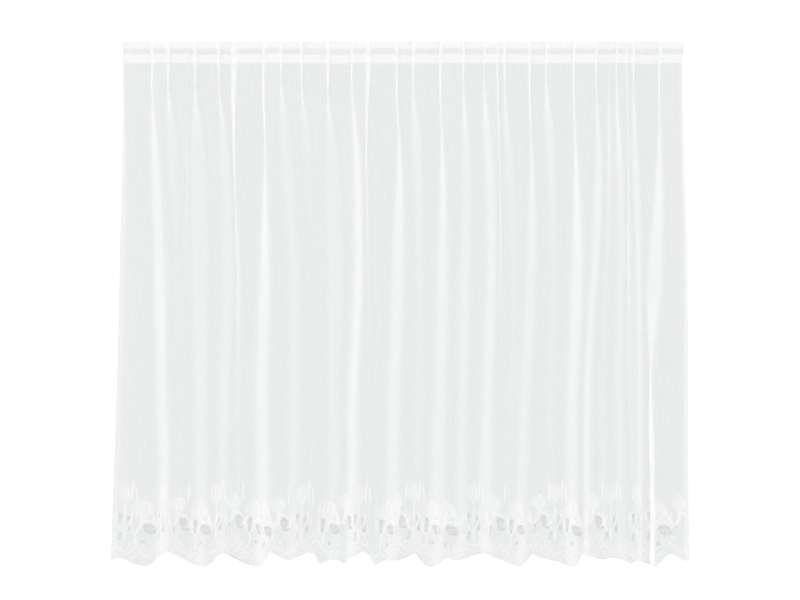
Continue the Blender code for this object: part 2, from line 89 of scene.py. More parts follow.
# How much of the light each cloth stops where it is seen square on
NET_COVER = 0.43
NET_SLUBS = 0.05
FLOWER_FILL = 0.1
FLOWER_RIM = 0.46
LEAF_FILL = 0.1
LEAF_RIM = 0.3
CORD_COVER = 0.55
DOT_COVER = 0.4
HEM_COVER = 0.2
CLOSE_SLUBS = 0.06
BAND_COVER = 0.63
STRIPE_COVER = 0.05
EDGE_ON = 0.34

# The tape's sheer stripe: depths of its two edges, and how soft they are
STRIPE_TOP = 22.2
STRIPE_FOOT = 37.7
STRIPE_EDGE = 0.7

# The room: metres behind the curtain, strengths of light and tones of the stage, with the grey of a
# painted shadow of the curtain on the wall behind it
WALL_PLACE = 0.09
PAINTED_SHADOW_PLACE = 0.07
FLOOR_PLACE = -2.35
PAINTED_SHADOW_INSET = 0.4
PAINTED_SHADOW_END_INSET = 1.1
# Grey of the panel just behind the net: a painted shadow of the curtain on the wall, darker than the
# wall round it
PAINTED_SHADOW_COLOUR = (0.672, 0.690, 0.681)
WALL_GLOW = 0.12
ROOM_LIGHT = 1.07
ROOM_TONE = 0.8
FRONT_LIGHT = 4.0
LIGHT_STEPS = 24
LENS = 100.0
FRAME_WIDE = 800 * POINT * MM
CAMERA_FAR = FRAME_WIDE * LENS / 36.0

# Fold lines from left to right, read off the photo in picture points: the column of each
# at five picture rows, then the spare cloth it holds at the heading, the middle and the foot,
# and the length in millimetres over which it opens below the heading
FOLD_ROWS = (64.0, 150.0, 270.0, 375.0, 480.0)
SPARE_ROWS = (70.0, 250.0, 430.0)
FOLD_COLUMNS = ("row_64", "row_150", "row_270", "row_375", "row_480", "heading", "middle", "foot",
                "opens")
FOLDS = (
    (129.0, 127.0, 123.5, 120.0, 115.5, 7.0, 0.5, 0.5, 120.0),
    (157.5, 160.0, 164.0, 165.0, 167.0, 7.5, 14.0, 13.5, 70.0),
    (173.5, 178.0, 183.0, 184.0, 184.0, 10.0, 2.0, 1.0, 60.0),
    (193.0, 192.5, 191.0, 190.0, 191.0, 3.5, 2.5, 0.2, 350.0),
    (200.0, 200.5, 203.0, 204.0, 205.0, 9.0, 14.0, 8.0, 60.0),
    (223.0, 226.5, 228.0, 226.5, 225.0, 7.0, 10.0, 5.5, 70.0),
    (238.0, 236.0, 237.5, 239.0, 241.0, 13.5, 4.0, 1.4, 380.0),
    (267.5, 268.0, 265.5, 265.0, 267.0, 8.5, 16.0, 16.0, 160.0),
    (285.0, 289.0, 296.0, 298.0, 298.0, 7.5, 5.5, 5.0, 50.0),
    (305.0, 309.0, 314.0, 316.0, 316.0, 8.5, 0.5, 1.0, 60.0),
    (323.5, 323.5, 322.5, 323.0, 326.0, 2.5, 1.0, 0.2, 300.0),
    (331.0, 331.5, 335.0, 336.0, 338.0, 9.5, 13.5, 8.0, 70.0),
    (354.5, 357.0, 359.0, 356.0, 355.0, 6.5, 8.5, 6.5, 80.0),
    (371.0, 367.0, 368.0, 370.0, 371.0, 12.5, 3.0, 1.0, 320.0),
    (399.0, 399.5, 398.0, 397.0, 396.0, 8.0, 14.5, 11.0, 130.0),
    (415.0, 417.0, 420.0, 422.0, 422.0, 8.5, 2.0, 1.5, 55.0),
    (442.0, 442.0, 443.0, 443.5, 442.0, 8.0, 11.0, 10.0, 150.0),
    (465.0, 465.5, 466.0, 467.0, 466.0, 6.5, 6.0, 4.0, 65.0),
    (485.0, 487.5, 492.0, 491.0, 490.0, 5.5, 4.5, 7.5, 60.0),
    (498.5, 498.5, 500.5, 503.0, 503.0, 6.0, 4.0, 0.3, 420.0),
    (505.5, 507.0, 513.0, 514.0, 513.0, 7.5, 4.5, 2.0, 60.0),
    (530.5, 531.0, 530.0, 529.0, 527.0, 8.0, 12.0, 9.5, 150.0),
    (546.5, 550.0, 553.0, 555.0, 555.0, 7.5, 1.0, 1.2, 55.0),
    (573.5, 574.0, 576.0, 577.0, 578.0, 7.5, 12.0, 11.0, 160.0),
    (596.0, 597.0, 593.5, 589.0, 588.0, 6.0, 8.0, 8.0, 80.0),
    (609.0, 608.0, 605.5, 605.0, 606.0, 4.0, 2.2, 3.0, 130.0),
    (615.5, 617.0, 619.5, 620.5, 622.0, 6.0, 4.2, 6.0, 90.0),
    (626.0, 626.0, 625.5, 628.0, 632.0, 4.0, 4.0, 1.2, 260.0),
    (633.0, 633.5, 637.5, 641.0, 641.0, 7.0, 6.0, 6.0, 60.0),
    (658.5, 658.0, 653.5, 651.0, 653.0, 8.0, 16.0, 23.0, 150.0),
    (681.5, 682.5, 686.5, 689.5, 690.0, 4.0, 6.0, 4.5, 120.0),
)

# Side edges of the hanging cloth, in picture points
SIDE_COLUMNS = ("row", "left", "right")
SIDES = (
    (41.0, 122.2, 684.4),
    (64.0, 123.0, 682.6),
    (100.0, 122.6, 683.0),
    (150.0, 121.8, 684.4),
    (200.0, 120.8, 686.4),
    (250.0, 119.6, 688.2),
    (350.0, 117.6, 688.8),
    (450.0, 114.4, 688.9),
    (500.0, 112.6, 689.0),
    (568.0, 110.4, 689.4),
)

# The scalloped hem, in picture points
HEM_COLUMNS = ("column", "row")
HEM = (
    (111.0, 562.0), (116.0, 558.5), (124.0, 560.0), (133.0, 565.0), (144.0, 567.5), (152.0, 565.0),
    (157.0, 558.5), (168.0, 553.0), (177.0, 557.0), (187.0, 562.0), (193.0, 565.5), (204.0, 568.0),
    (213.0, 563.0), (217.0, 557.0), (223.0, 554.0), (231.0, 557.5), (241.0, 563.0), (249.0, 566.0),
    (259.0, 568.0), (265.0, 562.0), (270.0, 553.5), (278.0, 557.5), (288.0, 562.0), (297.0, 558.5),
    (307.0, 554.0), (315.0, 554.5), (319.0, 566.0), (325.0, 562.0), (338.0, 561.0), (344.0, 564.5),
    (352.0, 559.0), (362.0, 553.0), (369.0, 555.5), (375.0, 567.0), (384.0, 561.5), (397.0, 562.0),
    (406.0, 558.5), (415.0, 554.0), (424.0, 566.0), (432.0, 568.0), (440.0, 564.0), (447.0, 559.0),
    (456.0, 562.0), (463.0, 560.5), (473.0, 556.5), (484.0, 554.0), (493.0, 558.5), (502.0, 561.0),
    (509.0, 564.5), (520.0, 568.0), (527.0, 562.0), (531.0, 554.5), (540.0, 558.5), (551.0, 561.5),
    (560.0, 563.5), (568.0, 567.0), (575.0, 568.0), (579.0, 563.0), (582.0, 554.5), (592.0, 558.0),
    (603.0, 561.0), (610.0, 558.5), (620.0, 560.5), (632.0, 565.0), (637.0, 561.5), (645.0, 564.0),
    (656.0, 568.0), (662.0, 562.0), (668.0, 555.5), (674.0, 555.5), (684.0, 562.0), (690.0, 562.0),
)

# Flowers of the border that face the front, in picture points, by kind:
# t is a tall bud, m a middle flower, o a low open flower
FLOWER_COLUMNS = ("kind", "column")
FLOWERS = (
    ("t", 123.0), ("o", 140.0), ("t", 160.5), ("m", 178.0), ("o", 199.4), ("t", 214.4),
    ("m", 231.0), ("o", 254.0), ("m", 278.0), ("t", 300.5), ("o", 328.0), ("t", 358.0),
    ("o", 386.0), ("t", 413.0), ("o", 444.0), ("t", 473.0), ("m", 493.0), ("o", 516.0),
    ("m", 539.0), ("t", 555.0), ("o", 571.0), ("m", 593.0), ("t", 610.5), ("t", 636.0),
    ("o", 656.0), ("m", 679.0),
)

# Gaps of the lace round one flower's stem: the place and size of each in picture points,
# across from the flower's middle and in picture rows, with how far the gap leans
GAP_COLUMNS = ("across", "row", "wide", "tall", "lean")
GAPS = {
    "t": ((-5.0, 519.0, 4.2, 12.0, 0.15), (5.4, 524.0, 4.6, 15.0, -0.1), (-4.5, 536.5, 4.0, 8.0, 0.2)),
    "m": ((7.4, 523.0, 8.5, 13.0, -0.25), (-4.6, 530.0, 3.6, 12.0, 0.1)),
    "o": ((8.6, 530.0, 13.0, 9.5, -0.5), (-6.6, 526.0, 4.2, 15.0, 0.1), (1.5, 543.5, 5.0, 4.6, 0.0)),
}

# Leaves and petals of each kind of flower, in picture points from the flower's middle:
# turn is in degrees from upright, bend is how far the middle bows to the right
LEAF_COLUMNS = ("across", "row", "length", "width", "turn", "bend", "lift")
LEAVES = {
    "t": (
        (0.0, 494.5, 19.0, 11.0, 0.0, 0.0, 0.4), (0.6, 495.0, 17.0, 5.6, 0.0, 0.4, 0.7),
        (0.0, 514.0, 22.0, 1.7, 0.5, 0.6, 0.4), (8.0, 491.0, 25.0, 2.2, 3.0, -0.8, 0.6),
        (10.8, 495.0, 20.0, 1.9, -5.0, 1.0, 0.5), (-5.0, 521.0, 22.0, 3.2, -16.0, -2.0, 0.6),
        (4.6, 520.0, 20.0, 2.8, 14.0, 1.6, 0.6), (0.2, 534.0, 18.0, 1.9, -3.0, 0.4, 0.4),
    ),
    "m": (
        (0.0, 503.0, 18.0, 15.5, 0.0, 0.0, 0.4), (0.8, 503.6, 16.0, 10.0, 0.0, 0.0, 0.6),
        (1.4, 504.2, 13.0, 5.0, 0.0, 0.0, 0.8), (-6.8, 519.0, 16.0, 3.0, -14.0, -1.6, 0.6),
        (-2.4, 518.5, 16.0, 3.0, 22.0, 1.6, 0.7), (-5.0, 532.0, 14.0, 1.9, 2.0, 0.0, 0.4),
        (4.6, 515.6, 15.0, 3.0, 108.0, -2.2, 0.6), (11.6, 521.0, 16.0, 2.6, 34.0, 2.4, 0.5),
        (10.4, 492.0, 22.0, 2.0, 2.0, 0.8, 0.6),
    ),
    "o": (
        (0.0, 510.0, 20.5, 22.0, 0.0, 0.0, 0.4), (1.4, 510.6, 18.5, 16.0, 0.0, 0.0, 0.6),
        (2.6, 511.0, 16.0, 10.0, 0.0, 0.0, 0.8), (-8.6, 527.5, 18.0, 3.2, -12.0, -1.6, 0.6),
        (-3.4, 527.0, 17.0, 3.2, 24.0, 1.8, 0.7), (-6.0, 540.0, 15.0, 1.9, 3.0, 0.0, 0.4),
        (8.0, 524.0, 16.0, 3.2, 112.0, -2.4, 0.6), (14.5, 518.0, 17.0, 3.0, -24.0, -2.6, 0.5),
        (19.5, 519.0, 18.0, 2.8, 20.0, 2.6, 0.5), (2.0, 521.5, 9.0, 3.4, 86.0, 0.6, 0.5),
    ),
}

# Sprays of dots above the flowers, in picture points from the flower's middle
SPRAY_COLUMNS = ("across", "row", "radius")
SPRAYS = {
    "t": ((-3.4, 486.0, 0.7), (0.0, 484.6, 0.8), (3.4, 486.0, 0.7)),
    "m": ((-2.6, 492.0, 0.8), (2.6, 492.0, 0.8), (-3.6, 488.4, 0.8), (3.6, 488.4, 0.8),
          (-2.2, 485.0, 0.8), (2.2, 485.0, 0.8), (0.0, 495.0, 0.7)),
    "o": ((-3.6, 499.0, 0.8), (-1.0, 497.4, 0.8), (1.8, 498.0, 0.8), (4.2, 499.6, 0.8),
          (-2.0, 494.0, 0.8), (1.2, 493.2, 0.8), (3.8, 495.0, 0.8), (2.4, 489.6, 0.7)),
}

# Rows of low leaves, in millimetres: above_hem is to the leaf's middle, turn is in degrees
LOW_LEAF_COLUMNS = ("above_hem", "length", "width", "turn")
LOW_LEAVES = ((23.0, 54.0, 23.0, 62.0), (45.0, 56.0, 21.0, 38.0))
LOW_LEAF_BEND = 2.0
LOW_LEAF_LIFTS = (0.7, 0.45)


def depth_of(row):
    """Depth below the top edge of a picture row."""
    return (row - TOP_ROW) * POINT


def place_of(column):
    """Distance from the curtain's middle of a picture column."""
    return (column - MIDDLE_COLUMN) * POINT


FOLD_PLACES = place_of(np.array([row[:5] for row in FOLDS]))
FOLD_DEPTHS = depth_of(np.array(FOLD_ROWS))
FOLD_SPARES = np.array([row[5:8] for row in FOLDS])
FOLD_OPENS = np.array([row[8] for row in FOLDS])
ALONG = np.linspace(0.0, FLAT_WIDTH, int(FLAT_WIDTH) + 1)
TABLE_DEPTHS = np.array([-10.0, 64.0, 74.0, 84.0, 98.0, 112.0, 130.0, 150.0, 176.0, 205.0, 240.0, 280.0,
                         330.0, 390.0, 460.0, 540.0, 620.0, 700.0, 780.0, 860.0, 940.0, 1030.0, 1100.0,
                         1170.0, 1240.0, 1310.0, 1380.0, 1460.0])


def fold_places(depth):
    """Where the fold lines stand at one depth, on a smooth path through the five rows."""
    slopes = np.gradient(FOLD_PLACES, FOLD_DEPTHS, axis=1)
    slopes[:, 0] = 0.0
    depth_used = min(max(depth, FOLD_DEPTHS[0]), FOLD_DEPTHS[-1])
    span = int(np.clip(np.searchsorted(FOLD_DEPTHS, depth_used) - 1, 0, len(FOLD_DEPTHS) - 2))
    length = FOLD_DEPTHS[span + 1] - FOLD_DEPTHS[span]
    t = (depth_used - FOLD_DEPTHS[span]) / length
    start = (2 * t ** 3 - 3 * t ** 2 + 1) * FOLD_PLACES[:, span]
    end = (3 * t ** 2 - 2 * t ** 3) * FOLD_PLACES[:, span + 1]
    leave = (t ** 3 - 2 * t ** 2 + t) * length * slopes[:, span]
    arrive = (t ** 3 - t ** 2) * length * slopes[:, span + 1]
    return start + end + leave + arrive


def side_places(depth):
    """The two side edges of the hanging cloth at one depth."""
    depths = depth_of(np.array([row[0] for row in SIDES]))
    left = place_of(np.array([row[1] for row in SIDES]))
    right = place_of(np.array([row[2] for row in SIDES]))
    return np.interp(depth, depths, left), np.interp(depth, depths, right)


def openness(depth):
    """For every fold, 0 where its pleat is stitched flat, towards 1 where it hangs free."""
    return 1.0 - np.exp(-max(depth - HEADING_FOOT, 0.0) / FOLD_OPENS)


def fold_spares(depth):
    """Span widths between fold lines at one depth, and the spare cloth held at every fold."""
    depths = depth_of(np.array(SPARE_ROWS))
    spares = np.array([np.interp(depth, depths, row) for row in FOLD_SPARES]) * POINT
    widths = np.diff(fold_places(depth))
    used = (spares[:-1] + spares[1:]).sum() / 2
    return widths, spares * (FLAT_WIDTH - widths.sum()) / used


def wall_slope(spares):
    """Slope of the hanging wall at a fold: the more spare cloth it holds, the steeper it is."""
    points = spares / POINT
    return np.arccos(1.0 / (1.0 + 0.2 * points ** 0.6)) + 0.15 * np.maximum(points - 18.0, 0.0)


def hanging_angles(widths, spares):
    """Slope of every wall, steeper where its spare cloth has little room."""
    share = np.clip(spares[:-1] / (spares[:-1] + spares[1:]), 0.2, 0.8)
    room = np.zeros(len(spares))
    room[:-1] += widths * share
    room[1:] += widths * (1.0 - share)
    least = np.arccos(1.0 / (1.0 + ROOM_SHARE * spares / room))
    return np.maximum(wall_slope(spares), least)


def fold_sides():
    """Whether each wall runs to the back or to the front, so that the cloth keeps to one plane."""
    slopes = wall_slope(FOLD_SPARES[:, -1] * POINT)
    sides = []
    reach = 0.0
    for points, slope in zip(FOLD_SPARES[:, -1], slopes):
        side = 1.0 if reach <= 0.0 else -1.0
        sides.append(side)
        reach += side * points / math.tan(min(slope, 1.3) / 2)
    return sides


FOLD_SIDES = fold_sides()


def softness(depth):
    """0 in the crisp upper folds, 1 where they have grown round and soft."""
    return min(max((depth - SOFT_FROM) / (SOFT_TO - SOFT_FROM), 0.0), 1.0)


def turn_plan(depth):
    """Span lengths, angle at every fold line, and the steep and turning lengths at span ends."""
    widths, spares = fold_spares(depth)
    free = openness(depth)
    angle = math.pi * (1.0 - free) + hanging_angles(widths, spares) * free
    bend = np.linspace(0.0, math.pi, 181)
    angle = np.minimum(angle, np.interp(spares / (2 * PLEAT_RADIUS), bend - np.sin(bend), bend))
    radius = PLEAT_RADIUS + (WAVE_RADIUS - PLEAT_RADIUS) * free
    radius = radius + (SOFT_RADIUS - WAVE_RADIUS) * softness(depth) * free
    ends = np.stack([angle[:-1], angle[1:]])
    half = np.stack([spares[:-1], spares[1:]]) / 2
    lengths = widths + half.sum(axis=0)
    turn_hides = 1.0 - np.sin(ends) / ends
    wall_hides = 1.0 - np.cos(ends)
    turns = np.minimum(np.stack([radius[:-1], radius[1:]]) * ends, half / turn_hides)
    least = (half / wall_hides).sum(axis=0)
    growth = (turns * (1.0 - turn_hides / wall_hides)).sum(axis=0)
    turns = turns * np.clip((0.97 * lengths - least) / growth, 0.05, 1.0)
    steep = np.maximum(half - turns * turn_hides, 0.0) / wall_hides
    fit = np.minimum(1.0, 0.99 * lengths / (turns + steep).sum(axis=0))
    return lengths, angle, steep * fit, turns * fit


def turn_knots(plan):
    """Points along the cloth with their turning angle, joined by straight changes of angle."""
    lengths, angle, steep, turns = plan
    along = []
    turned = []
    start = 0.0
    for number, length in enumerate(lengths):
        end = start + length
        first = FOLD_SIDES[number] * angle[number]
        last = FOLD_SIDES[number + 1] * angle[number + 1]
        along += [start, start + steep[0, number], start + steep[0, number] + turns[0, number]]
        turned += [first, first, 0.0]
        along += [end - steep[1, number] - turns[1, number], end - steep[1, number], end]
        turned += [0.0, last, last]
        start = end
    return np.array(along), np.array(turned)


def level_line(values):
    """The same line without its slow drift to the back or the front."""
    padded = np.concatenate([np.full(DRIFT_REACH, values[:60].mean()), values,
                             np.full(DRIFT_REACH, values[-60:].mean())])
    kernel = np.hanning(2 * DRIFT_REACH + 1)
    return values - np.convolve(padded, kernel / kernel.sum(), mode="valid")


def bent_path(plan, depth):
    """Place across and place back along the cloth, kept to one plane without stretching the cloth."""
    along, turned = turn_knots(plan)
    angle = np.interp((ALONG[:-1] + ALONG[1:]) / 2, along, turned)
    window = np.hanning(int(ROUNDING + (SOFT_ROUNDING - ROUNDING) * softness(depth)))
    angle = np.convolve(angle, window / window.sum(), mode="same")
    step = ALONG[1] - ALONG[0]
    run = np.cos(angle)
    rise = np.diff(level_line(np.concatenate([[0.0], np.cumsum(np.sin(angle) * step)]))) / step
    length = np.hypot(run, rise)
    across = np.concatenate([[0.0], np.cumsum(run / length * step)])
    back = level_line(np.concatenate([[0.0], np.cumsum(rise / length * step)]))
    return across - across.min(), back


def fitted_plan(depth):
    """The turns of one level, their lengths and angles fitted so that every fold line is in place."""
    lengths, angle, steep, turns = turn_plan(depth)
    widths = np.diff(fold_places(depth))
    for _ in range(FIT_STEPS):
        across, back = bent_path((lengths, angle, steep, turns), depth)
        lines = np.concatenate([[0.0], np.cumsum(lengths)])
        runs = np.diff(np.interp(lines, ALONG, across))
        least = (steep + turns).sum(axis=0) / 0.99
        lengths = np.maximum(lengths + 0.7 * (widths - runs), least)
        spare = lengths.sum() - widths.sum()
        share = (FLAT_WIDTH - widths.sum()) / spare
        angle = np.minimum(angle * share ** 0.4, math.pi)
        lengths = lengths * FLAT_WIDTH / lengths.sum()
    return lengths, angle, steep, turns


def level_path(depth):
    """The cloth's line at one depth, seen from above: place across and place front to back."""
    across, back = bent_path(fitted_plan(depth), depth)
    left, right = side_places(depth)
    return left + across * (right - left) / across.max(), back


def drape_tables():
    """Tables of place across and place front to back, by depth and by length along the cloth."""
    across = []
    back = []
    for depth in TABLE_DEPTHS:
        level_across, level_back = level_path(depth)
        across.append(level_across)
        back.append(level_back)
    return np.array(across), np.array(back)


ACROSS, BACK = drape_tables()


def look_up(table, along, depth):
    """Value of a drape table at points of the flat cloth."""
    column = np.clip(along / FLAT_WIDTH * (len(ALONG) - 1), 0, len(ALONG) - 1.001)
    left = column.astype(int)
    side = column - left
    row = np.clip(np.searchsorted(TABLE_DEPTHS, depth) - 1, 0, len(TABLE_DEPTHS) - 2)
    down = (depth - TABLE_DEPTHS[row]) / (TABLE_DEPTHS[row + 1] - TABLE_DEPTHS[row])
    upper = table[row, left] * (1 - side) + table[row, left + 1] * side
    lower = table[row + 1, left] * (1 - side) + table[row + 1, left + 1] * side
    return upper * (1 - down) + lower * down


def surface(along, depth):
    """Points of the hanging cloth's middle, with its back-facing unit normals."""
    small = 1.0
    across = look_up(ACROSS, along, depth)
    back = look_up(BACK, along, depth)
    before = np.clip(along - small, 0, FLAT_WIDTH)
    after = np.clip(along + small, 0, FLAT_WIDTH)
    run_across = look_up(ACROSS, after, depth) - look_up(ACROSS, before, depth)
    run_back = look_up(BACK, after, depth) - look_up(BACK, before, depth)
    length = np.hypot(run_across, run_back)
    normals = np.stack([-run_back / length, run_across / length, np.zeros(len(along))], axis=1)
    points = np.stack([across, back, -depth], axis=1)
    return points, normals


def along_of(column, depth=1400.0):
    """Length along the flat cloth that hangs at a picture column near the hem."""
    across = look_up(ACROSS, ALONG, np.full(len(ALONG), depth))
    front = np.maximum.accumulate(across + ALONG * 1e-6)
    return np.interp(place_of(column), front, ALONG)


def top_edge(along):
    """Depth of the top edge, with a small upward point at each corner."""
    near = np.minimum(along, FLAT_WIDTH - along)
    return -EAR_HEIGHT * np.clip(1.0 - near / EAR_WIDTH, 0.0, 1.0)


def hem_curve():
    """Depth of the scalloped hem along the cloth, with its scallops rounded."""
    columns = np.array([row[0] for row in HEM])
    depths = depth_of(np.array([row[1] for row in HEM]))
    along = along_of(columns)
    along[0] = 0.0
    along[-1] = FLAT_WIDTH
    curve = np.interp(ALONG, along, depths)
    window = np.hanning(13)
    padded = np.concatenate([np.full(6, curve[0]), curve, np.full(6, curve[-1])])
    return np.convolve(padded, window / window.sum(), mode="valid")


HEM_DEPTHS = hem_curve()


def hem_at(along):
    """Depth of the hem at points along the cloth."""
    return np.interp(along, ALONG, HEM_DEPTHS)


def flower_places():
    """Kind and length along the cloth of every flower, with more in the cloth that turns away."""
    front = [(kind, float(along_of(column))) for kind, column in FLOWERS]
    places = [front[0]]
    for kind, along in front[1:]:
        gap = along - places[-1][1]
        extra = max(0, int(round(gap / FLOWER_PITCH)) - 1)
        for number in range(extra):
            hidden_kind = ("m", "t", "o")[(len(places) + number) % 3]
            places.append((hidden_kind, along - gap * (extra - number) / (extra + 1)))
        places.append((kind, along))
    return places


FLOWER_PLACES = flower_places()


def gap_list():
    """Middle, half sizes and lean of every gap in the lace."""
    gaps = []
    for kind, along in FLOWER_PLACES:
        for across, row, wide, tall, lean in GAPS[kind]:
            middle = along + across * POINT
            depth = depth_of(row)
            half_wide = wide * POINT / 2
            half_tall = tall * POINT / 2
            if middle < half_wide + GAP_MARGIN or middle > FLAT_WIDTH - half_wide - GAP_MARGIN:
                continue
            crowded = any(abs(middle - gap[0]) < half_wide + gap[2] + GAP_APART
                          and abs(depth - gap[1]) < half_tall + gap[3] + GAP_APART for gap in gaps)
            if not crowded:
                gaps.append((middle, depth, half_wide, half_tall, lean))
    return gaps


# Making of pieces: a mesh is laid flat with x along the cloth and y up, z is its lift to the front
def new_mesh():
    """An empty mesh with a map for the cloth's own pattern."""
    mesh = bmesh.new()
    mesh.loops.layers.uv.new("cloth")
    return mesh


def map_flat(mesh):
    """Write the flat place of every corner into the cloth map, from 0 to 1 each way."""
    layer = mesh.loops.layers.uv.verify()
    for face in mesh.faces:
        for loop in face.loops:
            place = loop.vert.co
            loop[layer].uv = (place.x / FLAT_WIDTH, 1.0 + place.y / MAP_HEIGHT)


def hang(mesh):
    """Bend a flat mesh onto the drape of the hanging cloth."""
    flat = np.array([vertex.co[:] for vertex in mesh.verts])
    along = np.clip(flat[:, 0], 0.0, FLAT_WIDTH)
    points, normals = surface(along, -flat[:, 1])
    hung = (points - normals * flat[:, 2:3]) * MM
    for vertex, place in zip(mesh.verts, hung):
        vertex.co = place


def finish_piece(name, mesh, material):
    """Make an object of a mesh that hangs in its final place."""
    data = bpy.data.meshes.new(name)
    mesh.to_mesh(data)
    mesh.free()
    for face in data.polygons:
        face.use_smooth = True
    data.materials.append(material)
    piece = bpy.data.objects.new(name, data)
    bpy.context.scene.collection.objects.link(piece)
    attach(piece, "root")
    return piece


def row_depths():
    """Shares of the drop that carry the cloth's rows: closer in the heading and in the border."""
    heading = list(np.linspace(0.0, HEADING_FOOT, 4))
    body = list(HEADING_FOOT + (BODY_FOOT - HEADING_FOOT) * np.linspace(0.0, 1.0, 42)[1:] ** 1.25)
    lace = list(np.linspace(BODY_FOOT, LACE_FOOT, 53)[1:])
    return np.array(heading + body + lace)


def net_sheet():
    """The sheer net of the whole curtain, with its scalloped hem and the gaps of its lace."""
    mesh = new_mesh()
    depths = row_depths()
    rows = len(depths) + HEM_ROWS
    bmesh.ops.create_grid(mesh, x_segments=CLOTH_COLUMNS, y_segments=rows - 1, size=0.5)
    flat = np.array([vertex.co[:] for vertex in mesh.verts])
    along = (flat[:, 0] + 0.5) * FLAT_WIDTH
    row = np.rint((0.5 - flat[:, 1]) * (rows - 1)).astype(int)
    body_depth = depths[np.minimum(row, len(depths) - 1)]
    hem_share = np.maximum(row - len(depths) + 1, 0) / HEM_ROWS
    depth = body_depth + (hem_at(along) - LACE_FOOT) * hem_share
    depth = depth + np.where(row == 0, top_edge(along), 0.0)
    cut = np.zeros(len(along), dtype=bool)
    for middle, level, half_wide, half_tall, lean in gap_list():
        up = -(depth - level)
        over = along - middle - lean * up
        across_part = np.abs(over / half_wide) ** GAP_POWER
        upright_part = np.abs(up / half_tall) ** GAP_POWER
        form = (across_part + upright_part) ** (1 / GAP_POWER)
        within = form < 1.0
        cut |= within
        pull = within & (form > GAP_CORE)
        form = np.maximum(form, 0.1)
        along = np.where(pull, middle + lean * up / form + over / form, along)
        depth = np.where(pull, level - up / form, depth)
    for vertex, x, y in zip(mesh.verts, along, depth):
        vertex.co = (x, -y, 0.0)
    mesh.verts.ensure_lookup_table()
    inside = [face for face in mesh.faces if all(cut[corner.index] for corner in face.verts)]
    bmesh.ops.delete(mesh, geom=inside, context="FACES")
    map_flat(mesh)
    hang(mesh)
    return mesh


def add_leaf(mesh, middle, length, width, turn, bend, lift, steps, across=6):
    """One leaf or petal: a grid drawn in to a point at both ends, turned, bowed and domed.

    Its map holds the distance in from its edge, over RIM_REACH, and the share of its length.
    """
    layer = mesh.loops.layers.uv.verify()
    made = bmesh.ops.create_grid(mesh, x_segments=across, y_segments=steps, size=1.0)
    faces = {face for vertex in made["verts"] for face in vertex.link_faces}
    for face in faces:
        for loop in face.loops:
            side, up = loop.vert.co.x, loop.vert.co.y
            from_side = (1.0 - abs(side)) * width / 2
            from_tip = (1.0 - abs(up)) * length / 2
            loop[layer].uv = (min(from_side, from_tip) / RIM_REACH, (up + 1) / 2)
    slant = math.radians(turn)
    for vertex in made["verts"]:
        side, up = vertex.co.x, vertex.co.y
        taper = (1.0 - abs(up) ** 2.2) ** 0.75
        x = side * width / 2 * (taper + 0.02) + bend * (1.0 - up * up)
        y = up * length / 2
        dome = lift + 0.5 * (1.0 - side * side) * taper
        vertex.co.x = middle[0] + x * math.cos(slant) + y * math.sin(slant)
        vertex.co.y = middle[1] - x * math.sin(slant) + y * math.cos(slant)
        vertex.co.z = dome


def add_dot(mesh, middle, radius, lift):
    """One small woven dot."""
    made = bmesh.ops.create_circle(mesh, cap_ends=True, segments=7, radius=radius)
    bmesh.ops.translate(mesh, verts=made["verts"], vec=(middle[0], middle[1], lift))


def inside_cloth(place):
    """True where a motif's middle is far enough from the side edges."""
    return FLOWER_MARGIN < place < FLAT_WIDTH - FLOWER_MARGIN


def flower_mesh():
    """All flowers with their stems and standing leaves."""
    mesh = new_mesh()
    for number, (kind, along) in enumerate(FLOWER_PLACES):
        for across, row, length, width, turn, bend, lift in LEAVES[kind]:
            place = along + across * POINT
            if inside_cloth(place):
                steps = 14 if length > 22 else 8
                add_leaf(mesh, (place, -depth_of(row)), length * POINT, width * POINT, turn,
                         bend * POINT, lift, steps)
    hang(mesh)
    return mesh


def foot_mesh():
    """The close band of leaves along the hem, pointing left and right by turns."""
    mesh = new_mesh()
    count = int(FLAT_WIDTH / FOOT_PITCH)
    for above_hem, length, width, turn in LOW_LEAVES:
        for number in range(count):
            along = (number + 0.5) * FLAT_WIDTH / count
            side = 1.0 if number % 2 else -1.0
            wander = 5.0 * math.sin(number * 2.4 + above_hem)
            middle = (along, -float(hem_at(along)) + above_hem + wander * 0.4)
            add_leaf(mesh, middle, length, width, side * turn + wander * 2, side * LOW_LEAF_BEND,
                     LOW_LEAF_LIFTS[number % 2], 12)
    hang(mesh)
    return mesh


def tie_mesh():
    """The sparse tie threads that cross the gaps of the lace both ways."""
    mesh = new_mesh()
    slant = math.radians(TIE_TURN)
    for middle, level, half_wide, half_tall, lean in gap_list():
        count = max(int(2 * half_wide / TIE_PITCH), 1)
        for number in range(count):
            over = ((number + 0.5) / count * 2 - 1) * half_wide
            length = 2 * half_tall * math.sqrt(1 - (over / half_wide) ** 2) / math.cos(slant)
            for side in (-1.0, 1.0):
                add_leaf(mesh, (middle + over, -level), length, TIE_WIDTH, side * TIE_TURN,
                         bend=0.0, lift=0.0, steps=4, across=1)
    hang(mesh)
    return mesh


def dot_mesh():
    """The sprays of dots above the flowers."""
    mesh = new_mesh()
    for kind, along in FLOWER_PLACES:
        for across, row, radius in SPRAYS[kind]:
            place = along + across * POINT
            if inside_cloth(place):
                add_dot(mesh, (place, -depth_of(row)), radius * POINT, 0.5)
    map_flat(mesh)
    hang(mesh)
    return mesh


def strip_mesh(left, right, top, foot, behind, columns, rows):
    """A straight strip of cloth or tape, behind the net."""
    mesh = new_mesh()
    bmesh.ops.create_grid(mesh, x_segments=columns, y_segments=rows, size=0.5)
    for vertex in mesh.verts:
        vertex.co.x = left + (vertex.co.x + 0.5) * (right - left)
        vertex.co.y = -foot + (vertex.co.y + 0.5) * (foot - top)
        vertex.co.z = -behind
    map_flat(mesh)
    hang(mesh)
    return mesh


